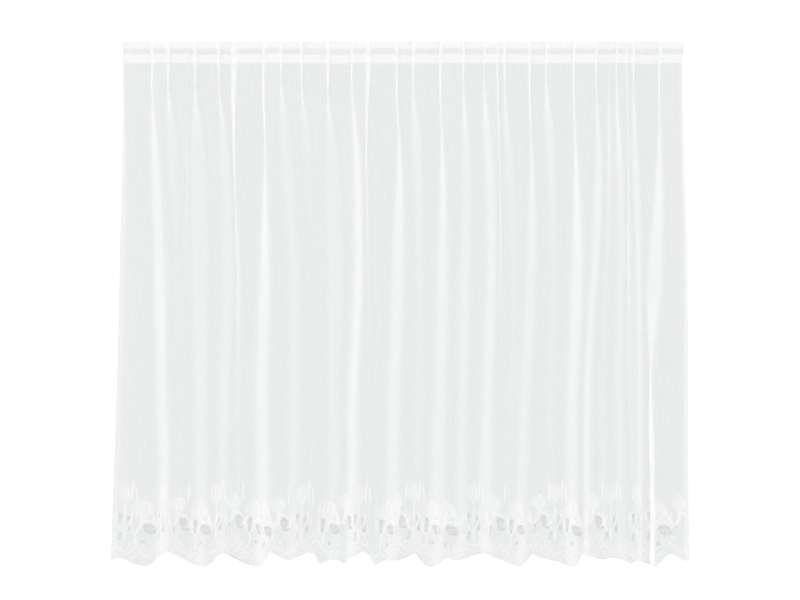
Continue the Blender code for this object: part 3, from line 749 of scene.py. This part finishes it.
def side_hem_mesh():
    """The turned hems down both side edges."""
    mesh = new_mesh()
    for left in (SIDE_HEM_INSET, FLAT_WIDTH - SIDE_HEM - SIDE_HEM_INSET):
        made = bmesh.ops.create_grid(mesh, x_segments=6, y_segments=150, size=0.5)
        for vertex in made["verts"]:
            x = left + (vertex.co.x + 0.5) * SIDE_HEM
            foot = float(hem_at(x)) - 1.0
            vertex.co = (x, -foot + (vertex.co.y + 0.5) * (foot - HEADING_FOOT), -0.5)
    map_flat(mesh)
    hang(mesh)
    return mesh


def cord_mesh(depth, behind, radius):
    """A draw cord of the tape: a thin tube along the pleats."""
    mesh = new_mesh()
    sides = 6
    bmesh.ops.create_grid(mesh, x_segments=CLOTH_COLUMNS, y_segments=sides, size=0.5)
    for vertex in mesh.verts:
        turn = 2 * math.pi * (vertex.co.y + 0.5)
        vertex.co.x = (vertex.co.x + 0.5) * FLAT_WIDTH
        vertex.co.y = -depth + radius * math.cos(turn)
        vertex.co.z = -behind + radius * math.sin(turn)
    bmesh.ops.remove_doubles(mesh, verts=mesh.verts[:], dist=0.001)
    map_flat(mesh)
    hang(mesh)
    return mesh


# Materials
def add_node(tree, kind, **settings):
    """One shader node with its plain settings."""
    node = tree.nodes.new(kind)
    for key, value in settings.items():
        setattr(node, key, value)
    return node


def weave_group():
    """Shared woven look: crossed threads on the cloth's own map, as a mask from 0 to 1."""
    group = bpy.data.node_groups.new("crossed_threads", "ShaderNodeTree")
    face = group.interface
    face.new_socket(name="Map", in_out="INPUT", socket_type="NodeSocketVector")
    across = face.new_socket(name="Threads Across", in_out="INPUT", socket_type="NodeSocketFloat")
    down = face.new_socket(name="Threads Down", in_out="INPUT", socket_type="NodeSocketFloat")
    across.default_value = 900.0
    down.default_value = 600.0
    face.new_socket(name="Threads", in_out="OUTPUT", socket_type="NodeSocketFloat")
    face.new_socket(name="Slubs", in_out="OUTPUT", socket_type="NodeSocketFloat")
    given = group.nodes.new("NodeGroupInput")
    result = group.nodes.new("NodeGroupOutput")
    split = add_node(group, "ShaderNodeSeparateXYZ")
    group.links.new(given.outputs["Map"], split.inputs[0])
    waves = []
    for axis, count in (("X", "Threads Across"), ("Y", "Threads Down")):
        scaled = add_node(group, "ShaderNodeMath", operation="MULTIPLY")
        group.links.new(split.outputs[axis], scaled.inputs[0])
        group.links.new(given.outputs[count], scaled.inputs[1])
        swing = add_node(group, "ShaderNodeMath", operation="PINGPONG")
        swing.inputs[1].default_value = 0.5
        group.links.new(scaled.outputs[0], swing.inputs[0])
        waves.append(swing)
    both = add_node(group, "ShaderNodeMath", operation="ADD")
    group.links.new(waves[0].outputs[0], both.inputs[0])
    group.links.new(waves[1].outputs[0], both.inputs[1])
    group.links.new(both.outputs[0], result.inputs["Threads"])
    stretch = add_node(group, "ShaderNodeMapping")
    stretch.inputs["Scale"].default_value = (420.0, 26.0, 1.0)
    group.links.new(given.outputs["Map"], stretch.inputs["Vector"])
    slubs = add_node(group, "ShaderNodeTexNoise")
    slubs.inputs["Scale"].default_value = 1.0
    slubs.inputs["Detail"].default_value = 3.0
    group.links.new(stretch.outputs[0], slubs.inputs["Vector"])
    group.links.new(slubs.outputs["Fac"], result.inputs["Slubs"])
    return group


WEAVE = weave_group()
CLOSE_WHITE = (0.975, 0.978, 0.973)


def cloth_base(name, colour, roughness, threads):
    """A Principled cloth with the woven look in its bump and colour. Returns it and its parts."""
    material = bpy.data.materials.new(name)
    material.use_nodes = True
    tree = material.node_tree
    shader = tree.nodes["Principled BSDF"]
    shader.inputs["Roughness"].default_value = roughness
    shader.inputs["Specular IOR Level"].default_value = 0.2
    place = add_node(tree, "ShaderNodeUVMap", uv_map="cloth")
    weave = add_node(tree, "ShaderNodeGroup")
    weave.node_tree = WEAVE
    weave.inputs["Threads Across"].default_value = threads[0]
    weave.inputs["Threads Down"].default_value = threads[1]
    tree.links.new(place.outputs["UV"], weave.inputs["Map"])
    tone = add_node(tree, "ShaderNodeMix", data_type="RGBA")
    tone.inputs["A"].default_value = (colour[0] * 0.985, colour[1] * 0.985, colour[2] * 0.985, 1.0)
    tone.inputs["B"].default_value = (min(colour[0] * 1.012, 1.0), min(colour[1] * 1.012, 1.0),
                                      min(colour[2] * 1.012, 1.0), 1.0)
    tree.links.new(weave.outputs["Slubs"], tone.inputs["Factor"])
    tree.links.new(tone.outputs["Result"], shader.inputs["Base Color"])
    bump = add_node(tree, "ShaderNodeBump")
    bump.inputs["Strength"].default_value = 0.25
    bump.inputs["Distance"].default_value = 0.0003
    tree.links.new(weave.outputs["Threads"], bump.inputs["Height"])
    tree.links.new(bump.outputs["Normal"], shader.inputs["Normal"])
    return material, tree, shader, place, weave


def cover_alpha(tree, shader, cover, ripple=None, amount=0.0):
    """Alpha of a sheer cloth: its cover, closer where the cloth turns edge on to the room."""
    surface_way = add_node(tree, "ShaderNodeNewGeometry")
    ways = add_node(tree, "ShaderNodeSeparateXYZ")
    tree.links.new(surface_way.outputs["Normal"], ways.inputs[0])
    square_on = add_node(tree, "ShaderNodeMath", operation="ABSOLUTE")
    tree.links.new(ways.outputs["Y"], square_on.inputs[0])
    held = add_node(tree, "ShaderNodeMath", operation="MAXIMUM")
    held.inputs[1].default_value = EDGE_ON
    tree.links.new(square_on.outputs[0], held.inputs[0])
    slant = add_node(tree, "ShaderNodeMath", operation="DIVIDE")
    slant.inputs[0].default_value = 1.0
    tree.links.new(held.outputs[0], slant.inputs[1])
    clear = add_node(tree, "ShaderNodeMath", operation="POWER")
    clear.inputs[0].default_value = 1.0 - cover
    if ripple is not None:
        change = add_node(tree, "ShaderNodeMath", operation="MULTIPLY_ADD")
        change.inputs[1].default_value = -amount
        change.inputs[2].default_value = 1.0 - cover + amount * 0.5
        tree.links.new(ripple, change.inputs[0])
        tree.links.new(change.outputs[0], clear.inputs[0])
    tree.links.new(slant.outputs[0], clear.inputs[1])
    alpha = add_node(tree, "ShaderNodeMath", operation="SUBTRACT")
    alpha.inputs[0].default_value = 1.0
    alpha.use_clamp = True
    tree.links.new(clear.outputs[0], alpha.inputs[1])
    tree.links.new(alpha.outputs[0], shader.inputs["Alpha"])


def net_material():
    """Sheer white net with faint upright slubs."""
    colour = (0.965, 0.972, 0.968)
    material, tree, shader, place, weave = cloth_base("sheer_net", colour, 0.8, (2100.0, 1200.0))
    cover_alpha(tree, shader, NET_COVER, weave.outputs["Slubs"], NET_SLUBS)
    return material


def motif_material(name, fill, rim):
    """White lace of flowers and leaves: a pale open fill and a closer rim of even width."""
    material, tree, shader, place, weave = cloth_base(name, CLOSE_WHITE, 0.75, (9.0, 24.0))
    split = add_node(tree, "ShaderNodeSeparateXYZ")
    tree.links.new(place.outputs["UV"], split.inputs[0])
    edge = add_node(tree, "ShaderNodeMapRange")
    edge.inputs["From Min"].default_value = RIM_START / RIM_REACH
    edge.inputs["From Max"].default_value = RIM_END / RIM_REACH
    edge.inputs["To Min"].default_value = 1.0
    edge.inputs["To Max"].default_value = 0.0
    tree.links.new(split.outputs["X"], edge.inputs["Value"])
    cover_alpha(tree, shader, (fill + rim) / 2, edge.outputs["Result"], rim - fill)
    return material


def plain_close_material(name, cover):
    """Close white weave without veins, for dots, hems and cords."""
    material, tree, shader, place, weave = cloth_base(name, CLOSE_WHITE, 0.75, (2600.0, 1500.0))
    cover_alpha(tree, shader, cover, weave.outputs["Slubs"], CLOSE_SLUBS)
    return material


def tape_material():
    """Woven tape: two close bands with a sheer stripe between them."""
    colour = (0.975, 0.977, 0.974)
    material, tree, shader, place, weave = cloth_base("woven_tape", colour, 0.8, (2600.0, 1800.0))
    split = add_node(tree, "ShaderNodeSeparateXYZ")
    tree.links.new(place.outputs["UV"], split.inputs[0])
    bands = add_node(tree, "ShaderNodeValToRGB")
    ramp = bands.color_ramp
    ramp.interpolation = "LINEAR"
    stops = ((TAPE_FOOT, BAND_COVER), (STRIPE_FOOT, BAND_COVER),
             (STRIPE_FOOT - STRIPE_EDGE, STRIPE_COVER),
             (STRIPE_TOP + STRIPE_EDGE, STRIPE_COVER), (STRIPE_TOP, BAND_COVER))
    ramp.elements[0].position = 1.0 - stops[0][0] / MAP_HEIGHT
    ramp.elements[1].position = 1.0 - stops[-1][0] / MAP_HEIGHT
    for depth, level in stops[1:-1]:
        ramp.elements.new(1.0 - depth / MAP_HEIGHT)
    for element, (depth, level) in zip(ramp.elements, stops):
        element.color = (level, level, level, 1.0)
    tree.links.new(split.outputs["Y"], bands.inputs["Fac"])
    cover_alpha(tree, shader, 0.5, bands.outputs["Color"], 1.0)
    return material


# The room: a white wall close behind that shows from the front alone, a grey panel of painted shadow
# just behind the curtain, and a pale floor
def one_sided_material(name, colour, glow, light):
    """Paint on the side that faces the room, nothing from behind. Cloth near it gets even light."""
    material = bpy.data.materials.new(name)
    material.use_nodes = True
    material.cycles.emission_sampling = "NONE"
    tree = material.node_tree
    shader = tree.nodes["Principled BSDF"]
    shader.inputs["Roughness"].default_value = 1.0
    shader.inputs["Specular IOR Level"].default_value = 0.0
    shader.inputs["Emission Color"].default_value = (1.0, 1.0, 1.0, 1.0)
    path = add_node(tree, "ShaderNodeLightPath")
    paint = add_node(tree, "ShaderNodeMix", data_type="RGBA")
    paint.inputs["A"].default_value = (*colour, 1.0)
    paint.inputs["B"].default_value = (0.0, 0.0, 0.0, 1.0)
    tree.links.new(path.outputs["Is Diffuse Ray"], paint.inputs["Factor"])
    tree.links.new(paint.outputs["Result"], shader.inputs["Base Color"])
    lit = add_node(tree, "ShaderNodeMix", data_type="FLOAT")
    lit.inputs["A"].default_value = glow
    lit.inputs["B"].default_value = light
    tree.links.new(path.outputs["Is Diffuse Ray"], lit.inputs["Factor"])
    tree.links.new(lit.outputs["Result"], shader.inputs["Emission Strength"])
    output = [node for node in tree.nodes if node.type == "OUTPUT_MATERIAL"][0]
    clear = add_node(tree, "ShaderNodeBsdfTransparent")
    side = add_node(tree, "ShaderNodeNewGeometry")
    mix = add_node(tree, "ShaderNodeMixShader")
    tree.links.new(side.outputs["Backfacing"], mix.inputs["Fac"])
    tree.links.new(shader.outputs["BSDF"], mix.inputs[1])
    tree.links.new(clear.outputs["BSDF"], mix.inputs[2])
    tree.links.new(mix.outputs["Shader"], output.inputs["Surface"])
    return material


def stage_plane(name, wide, tall, place, turn, material):
    """A flat stage surface."""
    mesh = bmesh.new()
    bmesh.ops.create_grid(mesh, x_segments=1, y_segments=1, size=0.5)
    data = bpy.data.meshes.new(name)
    mesh.to_mesh(data)
    mesh.free()
    plane = bpy.data.objects.new(name, data)
    bpy.context.scene.collection.objects.link(plane)
    plane.scale = (wide, tall, 1.0)
    plane.rotation_euler = turn
    plane.location = place
    data.materials.append(material)
    return plane


def painted_shadow_panel(material):
    """A grey panel that shows through the net, just inside the curtain's outline: a painted shadow of
    the curtain on the wall.
    """
    mesh = bmesh.new()
    bmesh.ops.create_grid(mesh, x_segments=290, y_segments=40, size=0.5)
    rows = np.array([row[0] for row in SIDES])
    left = np.array([row[1] for row in SIDES]) + PAINTED_SHADOW_INSET
    right = np.array([row[2] for row in SIDES]) - PAINTED_SHADOW_INSET
    hem_columns = np.array([row[0] for row in HEM])
    hem_rows = np.array([row[1] for row in HEM]) - PAINTED_SHADOW_END_INSET
    grow = POINT * MM * (CAMERA_FAR + PAINTED_SHADOW_PLACE) / CAMERA_FAR
    for vertex in mesh.verts:
        top = TOP_ROW + PAINTED_SHADOW_END_INSET
        row = top + (0.5 - vertex.co.y) * (hem_rows.max() - top)
        start = np.interp(row, rows, left)
        column = start + (vertex.co.x + 0.5) * (np.interp(row, rows, right) - start)
        foot = np.interp(column, hem_columns, hem_rows)
        row = top + (row - top) * (foot - top) / (hem_rows.max() - top)
        vertex.co.x = place_of(400.0) * MM + (column - 400.0) * grow
        vertex.co.y = -depth_of(300.0) * MM - (row - 300.0) * grow
        vertex.co.z = -PAINTED_SHADOW_PLACE
    upright = Matrix.Rotation(math.radians(90), 3, "X")
    bmesh.ops.rotate(mesh, verts=mesh.verts, cent=(0, 0, 0), matrix=upright)
    data = bpy.data.meshes.new("painted_shadow_card")
    mesh.to_mesh(data)
    mesh.free()
    panel = bpy.data.objects.new("painted_shadow_card", data)
    bpy.context.scene.collection.objects.link(panel)
    data.materials.append(material)
    return panel


def room_world():
    """Even white light from all round, with a pale grey beyond the wall."""
    world = bpy.data.worlds.new("soft_room")
    world.use_nodes = True
    tree = world.node_tree
    background = tree.nodes["Background"]
    background.inputs["Color"].default_value = (1.0, 1.0, 1.0, 1.0)
    path = add_node(tree, "ShaderNodeLightPath")
    tone = add_node(tree, "ShaderNodeMix", data_type="FLOAT")
    tone.inputs["A"].default_value = ROOM_LIGHT
    tone.inputs["B"].default_value = ROOM_TONE
    tree.links.new(path.outputs["Is Camera Ray"], tone.inputs["Factor"])
    tree.links.new(tone.outputs["Result"], background.inputs["Strength"])
    return world


def set_stage():
    """Wall, grey panel of painted shadow, floor, lights and camera."""
    scene = bpy.context.scene
    upright = (math.radians(90), 0.0, 0.0)
    wall_paint = one_sided_material("wall_paint", (0.98, 0.98, 0.98), WALL_GLOW, ROOM_LIGHT)
    stage_plane("wall", 6.0, 5.0, (0.0, WALL_PLACE, -0.5), upright, wall_paint)
    # Painted shadow: a grey panel behind the net stands in for the curtain's shadow on the wall
    painted_shadow_panel(one_sided_material("painted_shadow_grey", PAINTED_SHADOW_COLOUR, 0.0, ROOM_LIGHT))
    floor_paint = one_sided_material("floor_paint", (0.9, 0.9, 0.89), 0.0, 0.9 * ROOM_LIGHT)
    stage_plane("floor", 12.0, 12.0, (0.0, 0.0, FLOOR_PLACE), (0.0, 0.0, 0.0), floor_paint)
    scene.world = room_world()
    lamp = bpy.data.lights.new("soft_front", "AREA")
    lamp.shape = "RECTANGLE"
    lamp.size = 2.2
    lamp.size_y = 1.6
    lamp.energy = FRONT_LIGHT
    light = bpy.data.objects.new("soft_front", lamp)
    scene.collection.objects.link(light)
    light.location = (-2.5, -4.0, 0.5)
    light.rotation_euler = (math.radians(76), 0.0, math.radians(-32))
    light.visible_camera = False
    camera_data = bpy.data.cameras.new("front_camera")
    camera_data.lens = LENS
    camera_data.sensor_width = 36.0
    camera = bpy.data.objects.new("front_camera", camera_data)
    scene.collection.objects.link(camera)
    camera.location = (place_of(400.0) * MM, -CAMERA_FAR, -depth_of(300.0) * MM)
    camera.rotation_euler = upright
    scene.camera = camera
    scene.view_settings.view_transform = "Standard"
    scene.cycles.max_bounces = LIGHT_STEPS
    scene.cycles.diffuse_bounces = LIGHT_STEPS
    scene.cycles.transparent_max_bounces = 64


def dress():
    """Every piece of the curtain."""
    lace_cloth = motif_material("flower_weave", FLOWER_FILL, FLOWER_RIM)
    foot_cloth = motif_material("leaf_weave", LEAF_FILL, LEAF_RIM)
    cord_cloth = plain_close_material("close_weave", CORD_COVER)
    dot_cloth = plain_close_material("dot_weave", DOT_COVER)
    hem_cloth = plain_close_material("hem_weave", HEM_COVER)
    flowers = finish_piece("lace_flowers", flower_mesh(), lace_cloth)
    foot = finish_piece("lace_foot_leaves", foot_mesh(), foot_cloth)
    dots = finish_piece("lace_dots", dot_mesh(), dot_cloth)
    ties = finish_piece("lace_ties", tie_mesh(), dot_cloth)
    hems = finish_piece("side_hems", side_hem_mesh(), hem_cloth)
    net = finish_piece("net_panel", net_sheet(), net_material())
    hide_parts("curtain_panel")
    band = strip_mesh(0.3, FLAT_WIDTH - 0.3, TAPE_TOP, TAPE_FOOT, TAPE_BEHIND, CLOTH_COLUMNS, 6)
    tape = finish_piece("tape_band", band, tape_material())
    for number, depth in enumerate(CORD_DEPTHS):
        tube = cord_mesh(depth, TAPE_BEHIND + CORD_BEHIND, CORD_RADIUS)
        finish_piece("draw_cord_" + str(number + 1), tube, cord_cloth)
    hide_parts("heading_tape")


dress()
set_stage()
